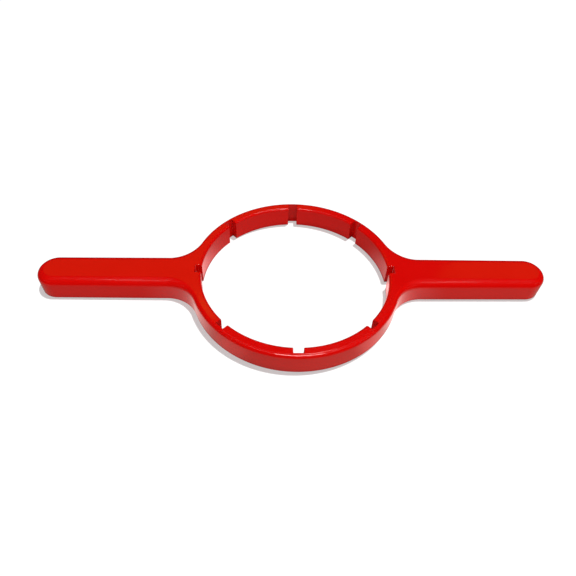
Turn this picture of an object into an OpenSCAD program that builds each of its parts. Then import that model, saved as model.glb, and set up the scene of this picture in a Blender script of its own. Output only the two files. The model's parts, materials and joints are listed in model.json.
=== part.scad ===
// Two-handled ring spanner for the lugged caps of fire hydrant outlets.
// Sizes are in millimetres. The ring's axis is +Z, the handles lie along +X and -X,
// and the tool rests on its ribbed underside at z = 0, with the ring's axis at x = y = 0.

/* [Ring] */
// Radius of the lands, which ride round the cap
bore_r = 75.5; // [60:0.5:95]
// Number of slots, each of which takes one lug of the cap
slot_count = 8; // [4:1:12]
// Width of a slot
slot_w = 7.8; // [5:0.1:14]
// Depth of a slot, from the lands to its flat back
slot_depth = 4.9; // [3:0.1:8]
// Wall left behind a slot
back_wall = 3.6; // [2.5:0.1:8]
// Rounding along the ring's outer top edge
ring_edge = 3.2; // [0.5:0.1:5]
// Rounding round the mouth of the bore
mouth_edge = 1.2; // [0.4:0.1:2.5]

/* [Handles] */
// Thickness of the whole tool
height = 19; // [14:0.5:28]
// Straight length of a handle, from where its root ends to its tip
handle_l = 101.8; // [70:0.1:160]
// Width of a handle where it leaves its root
handle_w = 30.6; // [24:0.1:40]
// Width of a handle at its round tip
tip_w = 29.8; // [22:0.1:40]
// Rounding along a handle's top edge
handle_edge = 6.3; // [1:0.1:9]
// Radius in plan of the hollow curve between the ring and a handle
blend_r = 26.8; // [15:0.1:45]

/* [Underside] */
// Plate left above the pockets
top_plate = 4; // [2.5:0.1:7]
// Wall left round the pockets
side_wall = 3.5; // [2.5:0.1:5]
// Thickness of the ribs between the pockets
rib = 2.4; // [1.6:0.1:4]
// Number of ribs across each handle
handle_ribs = 3; // [1:1:5]

/* [Hidden] */
plastic_red = [0.80, 0.05, 0.03];
$fn = 180;
edge_steps = 6;     // facets across a rounded top edge
blend_steps = 14;   // facets along a root's hollow curve
ring_steps = 48;    // facets along the ring's outside, from one root to the other
tip_steps = 12;     // facets round each half of a handle's tip
past = 1;           // how far a cutting shape runs past the face that it opens

slot_back = bore_r + slot_depth;
ring_r = slot_back + back_wall;
half_w = handle_w / 2;
half_tip = tip_w / 2;

// The hollow curves touch the ring's outside and the handles' sides
blend_y = half_w + blend_r;
blend_x = sqrt(pow(ring_r + blend_r, 2) - pow(blend_y, 2));
blend_a = atan2(blend_y, blend_x);

// The roots end, and the handles begin, a short way along the straight sides
root_stub = 4;
split_x = blend_x + root_stub;
tip_x = blend_x + handle_l;
tip_centre_x = tip_x - half_tip;

// Roundings never use up the thickness or the width that they are cut in
handle_round = min(handle_edge, 0.45 * height, 0.8 * half_tip);
ring_round = min(ring_edge, 0.45 * height, back_wall - 0.4);
mouth_round = min(mouth_edge, 0.5 * slot_depth);
pocket_h = height - top_plate;
half_pocket = half_w - side_wall;
half_tip_pocket = half_tip - side_wall;

// Stations along an arc of an outline, each [place, way into the plate, edge rounding].
// way is -1 on an arc that bulges outwards and 1 on a hollow one.
function arc(centre, radius, from, to, steps, way, round_from, round_to) = [
    for (i = [0:steps])
        let (t = i / steps, a = from + (to - from) * t, out = [cos(a), sin(a)])
        [centre + radius * out, way * out, round_from + (round_to - round_from) * t]
];

// Station where a straight side, at y above the axis, meets the end of a root
function side_end(x, y) = [[x, y], [0, -1], handle_round];

// Drops the stations at the ends of an arc, where its neighbours have theirs
function between(stations) = [for (i = [1:len(stations) - 2]) stations[i]];

// The same stations across the X axis, in the opposite order
function across(stations) = [
    for (i = [len(stations) - 1:-1:0])
        let (s = stations[i])
        [[s[0].x, -s[0].y], [s[1].x, -s[1].y], s[2]]
];

// Upper half of the head's outline, from the right root's end to the left one's
head_side = concat(
    [side_end(split_x, half_w)],
    arc([blend_x, blend_y], blend_r, -90, blend_a - 180, blend_steps, 1,
        handle_round, ring_round),
    between(arc([0, 0], ring_r, blend_a, 180 - blend_a, ring_steps, -1,
        ring_round, ring_round)),
    arc([-blend_x, blend_y], blend_r, -blend_a, -90, blend_steps, 1,
        ring_round, handle_round),
    [side_end(-split_x, half_w)]
);

// Quarter round of a handle's tip, from its point to its side
tip_side = arc([tip_centre_x, 0], half_tip, 0, 90, tip_steps, -1, handle_round, handle_round);

// Upper half of the right handle's outline, without the point of its tip
handle_side = concat(
    [for (i = [1:tip_steps]) tip_side[i]],
    [side_end(split_x, half_w)]
);

// Solid plate, the same on both sides of the X axis, square below and rounded along its
// top edge. half is the outline's upper half, from +X to -X, and point is the station
// on the axis at its +X end, in a list that is empty where that end is cut square.
module soft_plate(half, point = []) {
    outline = concat(point, half, across(half));
    count = len(outline);
    first = len(point);
    foot = [for (s = outline) [s[0].x, s[0].y, 0]];
    edge = [
        for (k = [0:edge_steps], s = outline)
            let (a = 90 * k / edge_steps, place = s[0] + s[1] * s[2] * (1 - cos(a)))
            [place.x, place.y, height - s[2] * (1 - sin(a))]
    ];
    sides = [
        for (k = [0:edge_steps], i = [0:count - 1])
            let (j = (i + 1) % count, low = k * count, high = low + count)
            each [[low + i, high + i, high + j], [low + i, high + j, low + j]]
    ];
    // Strips across the plate, between stations that face each other
    strips = concat(
        [for (p = point) [0, 1, count - 1]],
        [
            for (i = [0:len(half) - 2])
                let (a = first + i, b = count - 1 - i)
                [a, a + 1, b - 1, b]
        ]
    );
    top = (edge_steps + 1) * count;
    polyhedron(
        points = concat(foot, edge),
        faces = concat(
            strips,
            sides,
            [for (strip = strips) [for (i = [len(strip) - 1:-1:0]) top + strip[i]]]
        ),
        convexity = 6
    );
}

// Hole for the cap, with its mouth rounded all the way round
module bore() {
    translate([0, 0, -past]) cylinder(r = bore_r, h = height + 2 * past);
    rotate_extrude() difference() {
        translate([0, height - mouth_round]) square([bore_r + mouth_round, mouth_round + past]);
        translate([bore_r + mouth_round, height - mouth_round]) circle(r = mouth_round);
    }
}

// Slots for the cap's lugs, one of them facing each handle
module slots() {
    for (i = [0:slot_count - 1])
        rotate([0, 0, i * 360 / slot_count])
            translate([0, -slot_w / 2, -past])
                cube([slot_back, slot_w, height + 2 * past]);
}

// Pair of pockets under the right root, either side of a rib along its middle
module root_pockets() {
    for (way = [-1, 1])
        translate([0, 0, -past]) linear_extrude(pocket_h + past) difference() {
            polygon([
                [0, way * rib / 2],
                [split_x - rib / 2, way * rib / 2],
                [split_x - rib / 2, way * half_pocket],
                [blend_x, way * half_pocket],
                [blend_x, way * blend_y]
            ]);
            circle(r = ring_r);
            translate([blend_x, way * blend_y]) circle(r = blend_r + side_wall);
        }
}

// Row of pockets under the right handle, with ribs across it between them
module handle_pockets() {
    start = split_x + rib / 2;
    pitch = (tip_x - side_wall - start + rib) / (handle_ribs + 1);
    translate([0, 0, -past]) linear_extrude(pocket_h + past) difference() {
        union() {
            polygon([
                [start, -half_pocket],
                [tip_centre_x, -half_tip_pocket],
                [tip_centre_x, half_tip_pocket],
                [start, half_pocket]
            ]);
            translate([tip_centre_x, 0]) circle(r = half_tip_pocket);
        }
        for (i = [1:handle_ribs])
            translate([start + i * pitch - rib, -handle_w / 2]) square([rib, handle_w]);
    }
}

// Ring with its lands and slots, and the two flared roots that carry the handles
module ring_head() {
    color(plastic_red) difference() {
        soft_plate(head_side);
        bore();
        slots();
        for (turn = [0, 180]) rotate([0, 0, turn]) root_pockets();
    }
}

// Straight handle with a round tip, along +X
module handle() {
    color(plastic_red) difference() {
        soft_plate(handle_side, [tip_side[0]]);
        handle_pockets();
    }
}

module right_handle() { handle(); }

module left_handle() { rotate([0, 0, 180]) handle(); }

ring_head();
left_handle();
right_handle();
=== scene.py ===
import json
import math

import bmesh
import bpy
from mathutils import Matrix, Vector

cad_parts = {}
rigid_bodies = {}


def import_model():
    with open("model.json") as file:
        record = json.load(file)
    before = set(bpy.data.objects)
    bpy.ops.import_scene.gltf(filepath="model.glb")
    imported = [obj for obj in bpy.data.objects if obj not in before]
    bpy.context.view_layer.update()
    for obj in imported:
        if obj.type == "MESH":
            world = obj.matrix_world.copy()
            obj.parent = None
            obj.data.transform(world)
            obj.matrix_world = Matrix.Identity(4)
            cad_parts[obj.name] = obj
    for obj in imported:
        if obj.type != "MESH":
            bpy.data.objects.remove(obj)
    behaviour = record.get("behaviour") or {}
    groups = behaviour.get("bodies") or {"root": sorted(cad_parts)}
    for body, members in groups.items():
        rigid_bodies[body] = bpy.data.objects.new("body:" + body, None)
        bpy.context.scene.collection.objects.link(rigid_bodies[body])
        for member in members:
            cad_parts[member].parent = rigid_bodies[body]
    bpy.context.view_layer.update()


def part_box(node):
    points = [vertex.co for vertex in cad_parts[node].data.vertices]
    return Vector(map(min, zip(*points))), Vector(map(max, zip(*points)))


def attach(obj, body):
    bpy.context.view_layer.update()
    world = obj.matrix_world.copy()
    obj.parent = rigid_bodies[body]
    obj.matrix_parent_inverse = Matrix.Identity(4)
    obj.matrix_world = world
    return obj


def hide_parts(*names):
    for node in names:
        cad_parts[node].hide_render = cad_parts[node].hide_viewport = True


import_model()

# ---- Camera ------------------------------------------------------------------------------
# The tool lies flat and is seen from in front and well above, a little from its left side,
# by a camera that is close enough to widen what is near.
ELEVATION = math.radians(48.407)
AZIMUTH = math.radians(-3.155)
ROLL = math.radians(2.68)
CAMERA_DISTANCE = 0.4054
AIM_RIGHT = -0.00539
AIM_UP = -0.00262
LENS = 30.5
SENSOR = 36.0
NEAREST = 0.01
FARTHEST = 20.0

camera_back = Vector((math.sin(AZIMUTH) * math.cos(ELEVATION),
                      -math.cos(AZIMUTH) * math.cos(ELEVATION),
                      math.sin(ELEVATION)))
level_right = Vector((math.cos(AZIMUTH), math.sin(AZIMUTH), 0))
level_up = camera_back.cross(level_right)
camera_right = math.cos(ROLL) * level_right + math.sin(ROLL) * level_up
camera_up = math.cos(ROLL) * level_up - math.sin(ROLL) * level_right
aim = AIM_RIGHT * camera_right + AIM_UP * camera_up

camera_data = bpy.data.cameras.new("bench_camera")
camera_data.sensor_width = SENSOR
camera_data.lens = LENS
camera_data.clip_start = NEAREST
camera_data.clip_end = FARTHEST
bench_camera = bpy.data.objects.new("bench_camera", camera_data)
bench_camera.matrix_world = (
    Matrix.Translation(aim + CAMERA_DISTANCE * camera_back)
    @ Matrix((camera_right, camera_up, camera_back)).transposed().to_4x4()
)
bpy.context.scene.collection.objects.link(bench_camera)
bpy.context.scene.camera = bench_camera

# ---- Ring head ---------------------------------------------------------------------------
# The ring that goes over the cap, with eight slots for the cap's lugs and two flared roots
# for the handles. It is glossy red plastic, moulded in one shot with the handles, with soft
# top edges, crisp lower ones and hollow, ribbed roots.
MM = 0.001
UP = Vector((0, 0, 1))
head_low, head_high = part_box("ring_head")
tool_h = head_high.z
ring_r = head_high.y
root_end = head_high.x
BORE_R = 75.5 * MM          # from the axis to the lands that ride round the cap
BORE_DRAFT = 0.5 * MM       # how far the lands lean in on their way up
MOUTH_ROUND = 2.2 * MM      # rounding where the cap enters
SLOT_W = 7.8 * MM
SLOT_BACK = 80.4 * MM       # from the axis to a slot's flat back
SLOT_EASE = 0.04            # share of the mouth's rounding that a slot's own edges get
RING_ROUND = 3.2 * MM       # rounding along the ring's outer top edge
BLEND_R = 26.8 * MM         # hollow curve between the ring and a handle, in plan
HANDLE_HALF = 15.3 * MM     # half of a handle's width at its root
HANDLE_ROUND = 6.3 * MM     # rounding along a handle's top edge
POCKET_H = 15 * MM          # height of the pockets on the underside
SIDE_WALL = 3.5 * MM        # wall left round them
RIB = 2.4 * MM              # rib left between them
EDGE_BREAK = 0.2 * MM       # rounding on every edge that is sharper than this angle
SHARP_ANGLE = math.radians(40)
BREAK_STEPS = 3
ROUND_STEPS = 14
MOUTH_STEPS = 10
ARC_STEP = math.radians(1.5)
WELD_GAP = 1e-7
TOUCHING = 1e-6

blend_y = HANDLE_HALF + BLEND_R
blend_x = math.sqrt((ring_r + BLEND_R) ** 2 - blend_y ** 2)
blend_turn = math.atan2(blend_y, blend_x)
blend_centre = Vector((blend_x, blend_y, 0))


def go_to(bm, end, place):
    """Draws a straight line on from the end of a line, and returns its new end."""
    grown = bmesh.ops.extrude_vert_indiv(bm, verts=[end])["verts"][0]
    grown.co = place
    return grown


def go_round(bm, end, centre, turn, step=ARC_STEP):
    """Draws an arc on from the end of a line, and returns the arc's vertices in order."""
    known = set(bm.verts)
    bmesh.ops.spin(bm, geom=[end], cent=centre, axis=UP, dvec=(0, 0, 0), angle=turn,
                   steps=max(2, round(abs(turn) / step)), use_merge=False,
                   use_duplicate=False)
    return [v for v in bm.verts if v not in known]


def edges_along(bm, line):
    """Finds the edges along a line of vertices."""
    return [bm.edges.get((a, b)) for a, b in zip(line, line[1:])]


def raise_line(bm, line):
    """Draws a wall up from a line of vertices, and returns the wall's upper line."""
    made = bmesh.ops.extrude_edge_only(bm, edges=edges_along(bm, line))["geom"]
    upper = {v for v in made if isinstance(v, bmesh.types.BMVert)}
    return [next(e.other_vert(v) for e in v.link_edges if e.other_vert(v) in upper)
            for v in line]


def rounded_wall(bm, foot, ways, radii, steps, draft=0):
    """Draws a wall up from its foot and rounds its top edge, by its own radius and in its
    own direction at each vertex. With a draft, the wall leans the other way by that much.
    Returns the lines of the wall from the foot up."""
    feet = [v.co.copy() for v in foot]
    lines = [foot]
    for step in range(steps + 1):
        lift = 0.5 * math.pi * step / steps
        upper = raise_line(bm, lines[-1])
        for v, start, way, radius in zip(upper, feet, ways, radii):
            rise = tool_h - radius * (1 - math.sin(lift))
            lean = draft * rise / tool_h
            v.co = start + way * (radius * (1 - math.cos(lift)) - lean) + UP * rise
        lines.append(upper)
    return lines


def join(bm, a, b):
    """Draws one straight edge between two vertices."""
    return bmesh.ops.contextual_create(bm, geom=[a, b])["edges"][0]


def mirror_all(bm, axis):
    """Adds the mirror image of all there is, and joins the two where they touch."""
    bmesh.ops.mirror(bm, geom=bm.verts[:] + bm.edges[:] + bm.faces[:],
                     matrix=Matrix.Identity(4), merge_dist=TOUCHING, axis=axis)


def finish_skin(bm, name, cut_planes):
    """Breaks the sharp edges, and makes the object. The skins' cut ends meet face to face
    and stay sharp, so the tool reads as one moulding."""
    bmesh.ops.remove_doubles(bm, verts=bm.verts, dist=WELD_GAP)
    bmesh.ops.recalc_face_normals(bm, faces=bm.faces)

    def in_cut(edge):
        return any(all(abs(v.co.x - x) < TOUCHING for v in edge.verts) for x in cut_planes)

    sharp = [e for e in bm.edges if e.calc_face_angle(0) > SHARP_ANGLE and not in_cut(e)]
    bmesh.ops.bevel(bm, geom=sharp, offset=EDGE_BREAK, offset_type="OFFSET",
                    segments=BREAK_STEPS, profile=0.5, affect="EDGES", material=-1,
                    clamp_overlap=False, loop_slide=True)
    for face in bm.faces:
        face.smooth = True
    for edge in bm.edges:
        edge.smooth = not in_cut(edge)
    mesh = bpy.data.meshes.new(name)
    bm.to_mesh(mesh)
    bm.free()
    skin = bpy.data.objects.new(name, mesh)
    bpy.context.scene.collection.objects.link(skin)
    even = skin.modifiers.new("even_flats", "WEIGHTED_NORMAL")
    even.mode = "FACE_AREA"
    even.keep_sharp = True
    return skin


def turned(x, y, angle):
    """A place or a direction, turned round the ring's axis."""
    return Matrix.Rotation(angle, 3, "Z") @ Vector((x, y, 0))


head = bmesh.new()

# Outside of one quarter: the ring, the hollow curve into the handle, the root's end
outer = [head.verts.new((0, ring_r, 0))]
outer += go_round(head, outer[-1], (0, 0, 0), blend_turn - math.pi / 2)
ring_stations = len(outer)
outer += go_round(head, outer[-1], blend_centre, math.pi / 2 - blend_turn)
hollow_stations = len(outer) - ring_stations
outer.append(go_to(head, outer[-1], (root_end, HANDLE_HALF, 0)))
outer_ways = [-v.co.normalized() for v in outer[:ring_stations]]
outer_ways += [(v.co - blend_centre).normalized()
               for v in outer[ring_stations:ring_stations + hollow_stations]]
outer_ways.append(Vector((0, -1, 0)))
outer_radii = [RING_ROUND] * ring_stations
for i in range(1, hollow_stations + 1):
    t = i / hollow_stations
    outer_radii.append(RING_ROUND + (HANDLE_ROUND - RING_ROUND) * t * t * (3 - 2 * t))
outer_radii.append(HANDLE_ROUND)
outer_lines = rounded_wall(head, outer, outer_ways, outer_radii, ROUND_STEPS)

# Inside of the quarter: half a slot, a land, a slot, a land and half a slot
land_x = math.sqrt(BORE_R ** 2 - (SLOT_W / 2) ** 2)
land_turn = math.asin(SLOT_W / 2 / BORE_R)
inner = [head.verts.new((SLOT_BACK, 0, 0))]
inner_ways = [Vector((SLOT_EASE, 0, 0))]
for eighth, back_way in ((0, SLOT_EASE), (1, 0)):
    near_slot = math.pi / 4 * eighth
    far_slot = near_slot + math.pi / 4
    inner.append(go_to(head, inner[-1], turned(SLOT_BACK, SLOT_W / 2, near_slot)))
    inner_ways.append(turned(back_way, SLOT_EASE, near_slot))
    inner.append(go_to(head, inner[-1], turned(land_x, SLOT_W / 2, near_slot)))
    inner_ways.append(turned(1, SLOT_EASE, near_slot))
    land = go_round(head, inner[-1], (0, 0, 0), math.pi / 4 - 2 * land_turn)
    inner += land
    inner_ways += [v.co.normalized() for v in land[:-1]]
    inner_ways.append(turned(1, -SLOT_EASE, far_slot))
    inner.append(go_to(head, inner[-1], turned(SLOT_BACK, -SLOT_W / 2, far_slot)))
    inner_ways.append(turned(0, -SLOT_EASE, far_slot))
inner.append(go_to(head, inner[-1], (0, SLOT_BACK, 0)))
inner_ways.append(Vector((0, 0, 0)))
inner_lines = rounded_wall(head, inner, inner_ways, [MOUTH_ROUND] * len(inner), MOUTH_STEPS,
                           BORE_DRAFT)

# Flat top, and the cut end of the root
outer_rim, inner_rim = outer_lines[-1], inner_lines[-1]
end_top = go_to(head, outer_rim[-1], (root_end, 0, tool_h))
end_foot = go_to(head, outer[-1], (root_end, 0, 0))
top_edges = edges_along(head, outer_rim + [end_top]) + edges_along(head, inner_rim)
top_edges += [join(head, end_top, inner_rim[0]), join(head, inner_rim[-1], outer_rim[0])]
bmesh.ops.edgeloop_fill(head, edges=top_edges)
end_line = [line[-1] for line in outer_lines] + [end_top, end_foot]
join(head, end_top, end_foot)
bmesh.ops.edgeloop_fill(head, edges=edges_along(head, end_line + [end_line[0]]))

# Pocket under the root, with a wall left behind the ring and beside the hollow curve
pocket_r = BLEND_R + SIDE_WALL
reach = (blend_centre.length_squared + ring_r ** 2 - pocket_r ** 2) / (2 * blend_centre.length)
meet_turn = blend_turn - math.acos(reach / ring_r)
meet = turned(ring_r, 0, meet_turn)
meet_on_blend = math.atan2(blend_y - meet.y, blend_x - meet.x)
rib_turn = math.asin(RIB / 2 / ring_r)
pocket = [head.verts.new(turned(ring_r, 0, rib_turn))]
pocket += go_round(head, pocket[-1], (0, 0, 0), meet_turn - rib_turn)
pocket += go_round(head, pocket[-1], blend_centre, math.pi / 2 - meet_on_blend, 2 * ARC_STEP)
pocket.append(go_to(head, pocket[-1], (root_end - RIB / 2, HANDLE_HALF - SIDE_WALL, 0)))
pocket.append(go_to(head, pocket[-1], (root_end - RIB / 2, RIB / 2, 0)))
join(head, pocket[-1], pocket[0])
ceiling = raise_line(head, pocket + [pocket[0]])[:-1]
for v in ceiling:
    v.co.z = POCKET_H
bmesh.ops.edgeloop_fill(head, edges=edges_along(head, ceiling + [ceiling[0]]))

# Rim that the root stands on, round the pocket
rim_edges = edges_along(head, outer + [end_foot]) + edges_along(head, inner)
rim_edges += [join(head, end_foot, inner[0]), join(head, inner[-1], outer[0])]
rim_edges += edges_along(head, pocket + [pocket[0]])
bmesh.ops.triangle_fill(head, use_beauty=True, use_dissolve=True, edges=rim_edges,
                        normal=(0, 0, -1))

mirror_all(head, "Y")
mirror_all(head, "X")
ring_head_skin = finish_skin(head, "ring_head_skin", (root_end, -root_end))


class Shade:
    """A socket of a material's nodes. Sums on it add Math nodes."""

    def __init__(self, tree, socket=None):
        self.tree = tree
        self.socket = socket

    def node(self, kind, settings, inputs, output=0):
        """Adds a node: its settings, then the values or links of its sockets."""
        made = self.tree.nodes.new(kind)
        for name, value in settings.items():
            setattr(made, name, value)
        for name, value in inputs.items():
            if isinstance(value, Shade):
                self.tree.links.new(value.socket, made.inputs[name])
            else:
                made.inputs[name].default_value = value
        return Shade(self.tree, made.outputs[output] if made.outputs else None)

    def sum(self, operation, a, b=0.0):
        """Works out one sum on one or two sockets or numbers."""
        return self.node("ShaderNodeMath", {"operation": operation}, {0: a, 1: b})

    def __add__(self, other):
        return self.sum("ADD", self, other)

    def __sub__(self, other):
        return self.sum("SUBTRACT", self, other)

    def __rsub__(self, other):
        return self.sum("SUBTRACT", other, self)

    def __mul__(self, other):
        return self.sum("MULTIPLY", self, other)

    __radd__ = __add__
    __rmul__ = __mul__


def new_material(name):
    """Makes a material with no nodes, and a Shade to add them with."""
    material = bpy.data.materials.new(name)
    material.use_nodes = True
    material.node_tree.nodes.clear()
    return material, Shade(material.node_tree)


RED = (0.64, 0.0020, 0.0006, 1)
DEEP_RED = (0.61, 0.0008, 0.0003, 1)
GLOSSIEST = 0.08            # roughness, and how much it varies from cloud to cloud
GLOSS_SPREAD = 0.08
CLOUD_SCALE = 45.0          # cloudy colour and gloss, about 20 mm across
WAVE_SCALE = 110.0          # slow waves where the plastic sank as it cooled
WAVE_H = 0.04 * MM
PEEL_SCALE = 900.0          # fine unevenness of the mould's polish
PEEL_H = 0.0015 * MM
PLASTIC_IOR = 1.5


def red_plastic(name):
    """Glossy moulded red plastic, a little wavy from shrinking as it cooled."""
    material, shade = new_material(name)
    place = shade.node("ShaderNodeTexCoord", {}, {}, "Object")
    cloud = shade.node("ShaderNodeTexNoise", {},
                       {"Vector": place, "Scale": CLOUD_SCALE, "Detail": 3.0})
    wave = shade.node("ShaderNodeTexNoise", {},
                      {"Vector": place, "Scale": WAVE_SCALE, "Detail": 1.0})
    peel = shade.node("ShaderNodeTexNoise", {},
                      {"Vector": place, "Scale": PEEL_SCALE, "Detail": 2.0})
    colour = shade.node("ShaderNodeMix", {"data_type": "RGBA"},
                        {0: cloud, 6: DEEP_RED, 7: RED}, 2)
    bump = shade.node("ShaderNodeBump", {}, {"Strength": 1.0, "Distance": 1.0,
                                             "Height": wave * WAVE_H + peel * PEEL_H})
    skin = shade.node("ShaderNodeBsdfPrincipled", {},
                      {"Base Color": colour, "Roughness": cloud * GLOSS_SPREAD + GLOSSIEST,
                       "IOR": PLASTIC_IOR, "Normal": bump})
    shade.node("ShaderNodeOutputMaterial", {}, {"Surface": skin})
    return material


ring_head_skin.data.materials.append(red_plastic("ring_head_plastic"))
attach(ring_head_skin, "root")
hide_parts("ring_head")

# ---- Handles -----------------------------------------------------------------------------
# Two straight handles with round tips, which run on from the roots. They are moulded in the
# same red plastic, soft along the top where the hands press, and cored out below between
# cross ribs.
tip_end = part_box("right_handle")[1].x
TIP_HALF = 14.9 * MM        # half of a handle's width at its round tip
HANDLE_RIBS = 3
TIP_STEP = math.radians(3)
tip_centre = Vector((tip_end - TIP_HALF, 0, 0))
pocket_start = root_end + RIB / 2
pocket_pitch = (tip_end - SIDE_WALL - pocket_start + RIB) / (HANDLE_RIBS + 1)


def pocket_side(x):
    """Half width of the handle's pockets, which narrow with it towards the tip."""
    share = (x - pocket_start) / (tip_centre.x - pocket_start)
    return (1 - share) * (HANDLE_HALF - SIDE_WALL) + share * (TIP_HALF - SIDE_WALL)


def handle_mesh():
    """The right handle: one half from its cut end to the point of its tip, mirrored."""
    bm = bmesh.new()
    side = [bm.verts.new((root_end, HANDLE_HALF, 0))]
    side.append(go_to(bm, side[-1], tip_centre + Vector((0, TIP_HALF, 0))))
    side += go_round(bm, side[-1], tip_centre, -math.pi / 2, TIP_STEP)
    ways = [Vector((0, -1, 0))] * 2
    ways += [(tip_centre - v.co).normalized() for v in side[2:]]
    lines = rounded_wall(bm, side, ways, [HANDLE_ROUND] * len(side), ROUND_STEPS)

    end_top = go_to(bm, lines[-1][0], (root_end, 0, tool_h))
    end_foot = go_to(bm, side[0], (root_end, 0, 0))
    middle = join(bm, end_top, lines[-1][-1])
    bmesh.ops.edgeloop_fill(bm, edges=edges_along(bm, [end_top] + lines[-1]) + [middle])
    join(bm, end_top, end_foot)
    end_line = [line[0] for line in lines] + [end_top, end_foot]
    bmesh.ops.edgeloop_fill(bm, edges=edges_along(bm, end_line + [end_line[0]]))

    # Pockets between the ribs, the last of them round like the tip
    rim_line = [end_foot]
    ceilings = []
    for i in range(HANDLE_RIBS + 1):
        start = pocket_start + i * pocket_pitch
        stop = start + pocket_pitch - RIB
        pocket = [bm.verts.new((start, 0, 0))]
        pocket.append(go_to(bm, pocket[-1], (start, pocket_side(start), 0)))
        if i < HANDLE_RIBS:
            pocket.append(go_to(bm, pocket[-1], (stop, pocket_side(stop), 0)))
            pocket.append(go_to(bm, pocket[-1], (stop, 0, 0)))
        else:
            shoulder = tip_centre + Vector((0, TIP_HALF - SIDE_WALL, 0))
            pocket.append(go_to(bm, pocket[-1], shoulder))
            pocket += go_round(bm, pocket[-1], tip_centre, -math.pi / 2, TIP_STEP)
        join(bm, rim_line[-1], pocket[0])
        rim_line += pocket
        ceilings.append(raise_line(bm, pocket))
    for ceiling in ceilings:
        for v in ceiling:
            v.co.z = POCKET_H
        back = join(bm, ceiling[0], ceiling[-1])
        bmesh.ops.edgeloop_fill(bm, edges=edges_along(bm, ceiling) + [back])
    join(bm, rim_line[-1], side[-1])
    bmesh.ops.edgeloop_fill(bm, edges=edges_along(bm, rim_line + side[::-1] + [end_foot]))
    mirror_all(bm, "Y")
    return bm


for name, turn in (("right_handle", 0), ("left_handle", math.pi)):
    handle = handle_mesh()
    bmesh.ops.rotate(handle, cent=(0, 0, 0), matrix=Matrix.Rotation(turn, 3, "Z"),
                     verts=handle.verts)
    handle_skin = finish_skin(handle, name + "_skin", (root_end, -root_end))
    handle_skin.data.materials.append(red_plastic(name + "_plastic"))
    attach(handle_skin, "root")
    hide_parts(name)

# ---- Floor -------------------------------------------------------------------------------
# A pale bench top, which shows white where it is lit and grey in the tool's shadow. Away
# from the tool its colour is painted darker, a painted pool of lamp light.
FLOOR_HALF = 4.0
BENCH_WHITE = (0.94, 1.0, 1.0, 1)
POOL_EDGE = (0.05, 0.25)    # how far from the tool the lamp's pool starts and ends its fade
FLOOR_PALE = 0.50           # how pale the bench is in the pool, and outside it
FLOOR_PAINTED_DIM = 0.06
LIT = 0.98                  # how bright the lit bench looks in the pool, and outside it
LIT_OUTSIDE = 1.03
SHARP_EDGE = 1 * MM         # blur of the edges between the parts of the bench

floor_bm = bmesh.new()
bmesh.ops.create_grid(floor_bm, x_segments=1, y_segments=1, size=FLOOR_HALF)
bmesh.ops.translate(floor_bm, verts=floor_bm.verts, vec=(0, 0, head_low.z))
floor_mesh = bpy.data.meshes.new("bench_top")
floor_bm.to_mesh(floor_mesh)
floor_bm.free()
bench_top = bpy.data.objects.new("bench_top", floor_mesh)
bpy.context.scene.collection.objects.link(bench_top)
floor_material, shade = new_material("bench_white")
place = shade.node("ShaderNodeTexCoord", {}, {}, "Object")
along = shade.node("ShaderNodeSeparateXYZ", {}, {0: place}, 0)
across = shade.node("ShaderNodeSeparateXYZ", {}, {0: place}, 1)
from_axis = shade.node("ShaderNodeVectorMath", {"operation": "LENGTH"}, {0: place}, 1)
past_handle = shade.sum("MAXIMUM", shade.sum("ABSOLUTE", across) - HANDLE_HALF,
                        from_axis - tip_end)
away = shade.sum("MINIMUM", from_axis - ring_r, past_handle)


def ramp(value, start, stop, low, high):
    """Goes from low at the start to high at the stop, and stays level beyond them."""
    return shade.node("ShaderNodeMapRange", {"interpolation_type": "SMOOTHSTEP"},
                      {"Value": value, "From Min": start, "From Max": stop, "To Min": low,
                       "To Max": high})


def patches(spots):
    """Round patches on the bench, each given as its middle, how far out it starts and ends
    its fade, and its strength."""
    total = 0.0
    for x, y, start, stop, strength in spots:
        gap = shade.node("ShaderNodeVectorMath", {"operation": "DISTANCE"},
                         {0: place, 1: (x, y, 0)}, 1)
        total = total + ramp(gap, start, stop, strength, 0.0)
    return total


# The bench as the camera sees it: pale, darker outside the painted pool, and lifted to white
# where it is lit
pale = ramp(away, *POOL_EDGE, FLOOR_PALE, FLOOR_PAINTED_DIM)
lift = ramp(away, *POOL_EDGE, LIT, LIT_OUTSIDE)
seen = shade.node("ShaderNodeLightPath", {}, {}, "Is Camera Ray")
mirrored = (shade.node("ShaderNodeLightPath", {}, {}, "Is Glossy Ray")
            + shade.node("ShaderNodeLightPath", {}, {}, "Is Transmission Ray"))
# To gloss the bench shows none of its lit colour, only the painted reflection glows below
matt = shade.node("ShaderNodeBsdfDiffuse", {}, {"Color": shade.node(
    "ShaderNodeMix", {"data_type": "RGBA"}, {0: pale * (1 - mirrored), 6: (0, 0, 0, 1),
                                             7: BENCH_WHITE}, 2)})
glows = [((1, 1, 1, 1), seen * (lift - pale))]

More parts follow.
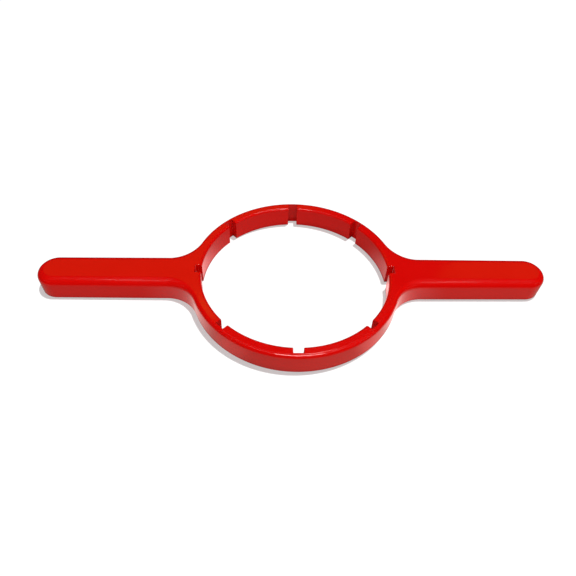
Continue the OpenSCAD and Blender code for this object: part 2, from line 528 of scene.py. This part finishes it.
# Painted reflection: a glow on the bench that only gloss sees, bright close round the tool,
# less so beside the left handle, and least under the ring and inside its near half, as painted
# shade
PAINTED_GLOSS_TINT = (1.0, 1.0, 0.85, 1)
PAINTED_GLOSS_GLOW = 0.34
GLOSS_EDGE = (0.02, 0.09)
LEFT_SHARE = 0.78
LEFT_EDGE = (-0.12, -0.09)
NEAR_SHARE = 0.12
FAR_SHARE = 0.58
BORE_EDGE = (-0.045, -0.028)
UNDER_SHARE = 0.3
left_handle = ramp(along, *LEFT_EDGE, LEFT_SHARE, 1.0)
in_bore = (ramp(across, *BORE_EDGE, NEAR_SHARE, FAR_SHARE)
           * ramp(from_axis, BORE_R - SHARP_EDGE, BORE_R + SHARP_EDGE, 1.0, UNDER_SHARE))
painted_gloss_share = ramp(from_axis, ring_r - SHARP_EDGE, ring_r + SHARP_EDGE, in_bore, left_handle)
glows.append((PAINTED_GLOSS_TINT, mirrored * ramp(away, *GLOSS_EDGE, PAINTED_GLOSS_GLOW, 0.0) * painted_gloss_share))

# Painted reflections of red light thrown back from the tool: redder glow patches that only
# gloss sees, in the crooks in front of the handles, inside the ring beside the roots, and at
# the foot of the ring's near wall
PAINTED_CROOK_BOUNCE = (1.9, 1.0, 1.0, 1)
PAINTED_ROOT_BOUNCE = (2.4, 1.0, 1.0, 1)
PAINTED_WALL_BOUNCE = (1.0, 0.2, 0.2, 1)
CROOK_UNDER_SHARE = 0.5
crook_bounce_patches = patches(((0.085, -0.030, 0.005, 0.045, 0.65),
                     (-0.085, -0.030, 0.005, 0.045, 0.43)))
root_bounce_patches = patches(((0.070, 0.017, 0.004, 0.030, 0.36),
                    (-0.070, 0.017, 0.004, 0.030, 0.36),
                    (0.071, -0.008, 0.006, 0.016, 0.85),
                    (-0.071, -0.008, 0.006, 0.016, 0.85),
                    (-0.062, 0.020, 0.006, 0.045, 0.30)))
wall_bounce_patches = patches(((0.062, -0.066, 0.004, 0.020, 0.90),
                   (-0.056, -0.072, 0.006, 0.022, 0.60)))
outside = ramp(from_axis, ring_r - SHARP_EDGE, ring_r + SHARP_EDGE, CROOK_UNDER_SHARE, 1.0)
inside = ramp(from_axis, BORE_R - SHARP_EDGE, BORE_R, 1.0, 0.0)
glows += [(PAINTED_CROOK_BOUNCE, mirrored * crook_bounce_patches * outside),
          (PAINTED_ROOT_BOUNCE, mirrored * root_bounce_patches * inside),
          (PAINTED_WALL_BOUNCE, mirrored * wall_bounce_patches)]
surface = matt
for tint, strength in glows:
    glow = shade.node("ShaderNodeEmission", {}, {"Color": tint, "Strength": strength})
    surface = shade.node("ShaderNodeAddShader", {}, {0: surface, 1: glow})
shade.node("ShaderNodeOutputMaterial", {}, {"Surface": surface})
bench_top.data.materials.append(floor_material)

# ---- Lamps and room ----------------------------------------------------------------------
# Soft boxes hung round the bench, one hard lamp that throws the shadow, and a dim white room.
# Boxes that light the plastic evenly are kept apart from those that show in its gloss, and
# each falls only on the bench, on the whole tool or on its ring head.
tool_only = bpy.data.collections.new("tool_only")
for skin in [o for o in bpy.data.objects if o.name.endswith("_skin")]:
    tool_only.objects.link(skin)
head_only = bpy.data.collections.new("head_only")
head_only.objects.link(ring_head_skin)
bench_only = bpy.data.collections.new("bench_only")
bench_only.objects.link(bench_top)
WHITE = (1, 1, 1)
WARM = (1.0, 0.85, 0.14)
# Where each lamp hangs, its size, power and colour, whether it lights evenly, whether it
# shows in gloss, and what it falls on
LAMPS = {
    "shadow_lamp": ((0.80, 0.85, 5.00), (0.22, 0.22), 320.0, WHITE, True, False, bench_only),
    "roof_box": ((0.10, -0.20, 1.00), (1.50, 1.50), 14.8, WHITE, True, False, tool_only),
    "left_fill": ((-1.2, -0.6, 0.50), (0.7, 0.5), 3.2, WHITE, True, False, tool_only),
    "right_fill": ((1.2, -0.5, 0.50), (0.7, 0.5), 4.6, WHITE, True, False, tool_only),
    "front_fill": ((0.00, -1.30, 0.35), (0.9, 0.4), 1.5, WHITE, True, False, tool_only),
    "front_box": ((0.06, -0.60, 0.93), (0.62, 0.16), 5.2, WHITE, False, True, tool_only),
    "left_glint": ((-0.45, -0.40, 1.05), (0.19, 0.08), 0.14, WHITE, False, True, tool_only),
    "right_glint": ((0.54, -0.40, 1.03), (0.17, 0.08), 0.14, WHITE, False, True, tool_only),
    "rim_glint": ((0.16, 0.20, 1.04), (0.10, 0.24), 0.85, WHITE, False, True, head_only),
    "left_sheen": ((-0.25, 0.675, 0.67), (0.80, 0.26), 0.100, WARM, False, True, tool_only),
    "left_gleam": ((-0.20, 0.545, 0.745), (0.12, 0.06), 0.012, WARM, False, True, tool_only),
    "right_sheen": ((0.62, 0.60, 0.65), (0.32, 0.26), 0.040, WARM, False, True, tool_only),
}
for name, (place, size, power, tint, evenly, in_gloss, falls_on) in LAMPS.items():
    lamp_data = bpy.data.lights.new(name, "AREA")
    lamp_data.shape = "RECTANGLE"
    lamp_data.size, lamp_data.size_y = size
    lamp_data.energy = power
    lamp_data.color = tint
    lamp = bpy.data.objects.new(name, lamp_data)
    lamp.location = place
    lamp.rotation_euler = Vector(place).to_track_quat("Z", "Y").to_euler()
    lamp.visible_diffuse = evenly
    lamp.visible_glossy = in_gloss
    lamp.light_linking.receiver_collection = falls_on
    bpy.context.scene.collection.objects.link(lamp)

ROOM_LIGHT = 0.12           # how much light the room gives, and how bright it is in gloss
ROOM_GLOSS = 0.02
room = bpy.data.worlds.new("studio_room")
bpy.context.scene.world = room
room.use_nodes = True
room.node_tree.nodes.clear()
shade = Shade(room.node_tree)
seen = shade.node("ShaderNodeLightPath", {}, {}, "Is Camera Ray")
mirrored = shade.node("ShaderNodeLightPath", {}, {}, "Is Glossy Ray")
level = seen * (1.0 - ROOM_LIGHT) + mirrored * (ROOM_GLOSS - ROOM_LIGHT) + ROOM_LIGHT
sky = shade.node("ShaderNodeBackground", {}, {"Color": (1, 1, 1, 1), "Strength": level})
shade.node("ShaderNodeOutputWorld", {}, {"Surface": sky})

bpy.context.scene.view_settings.view_transform = "Standard"
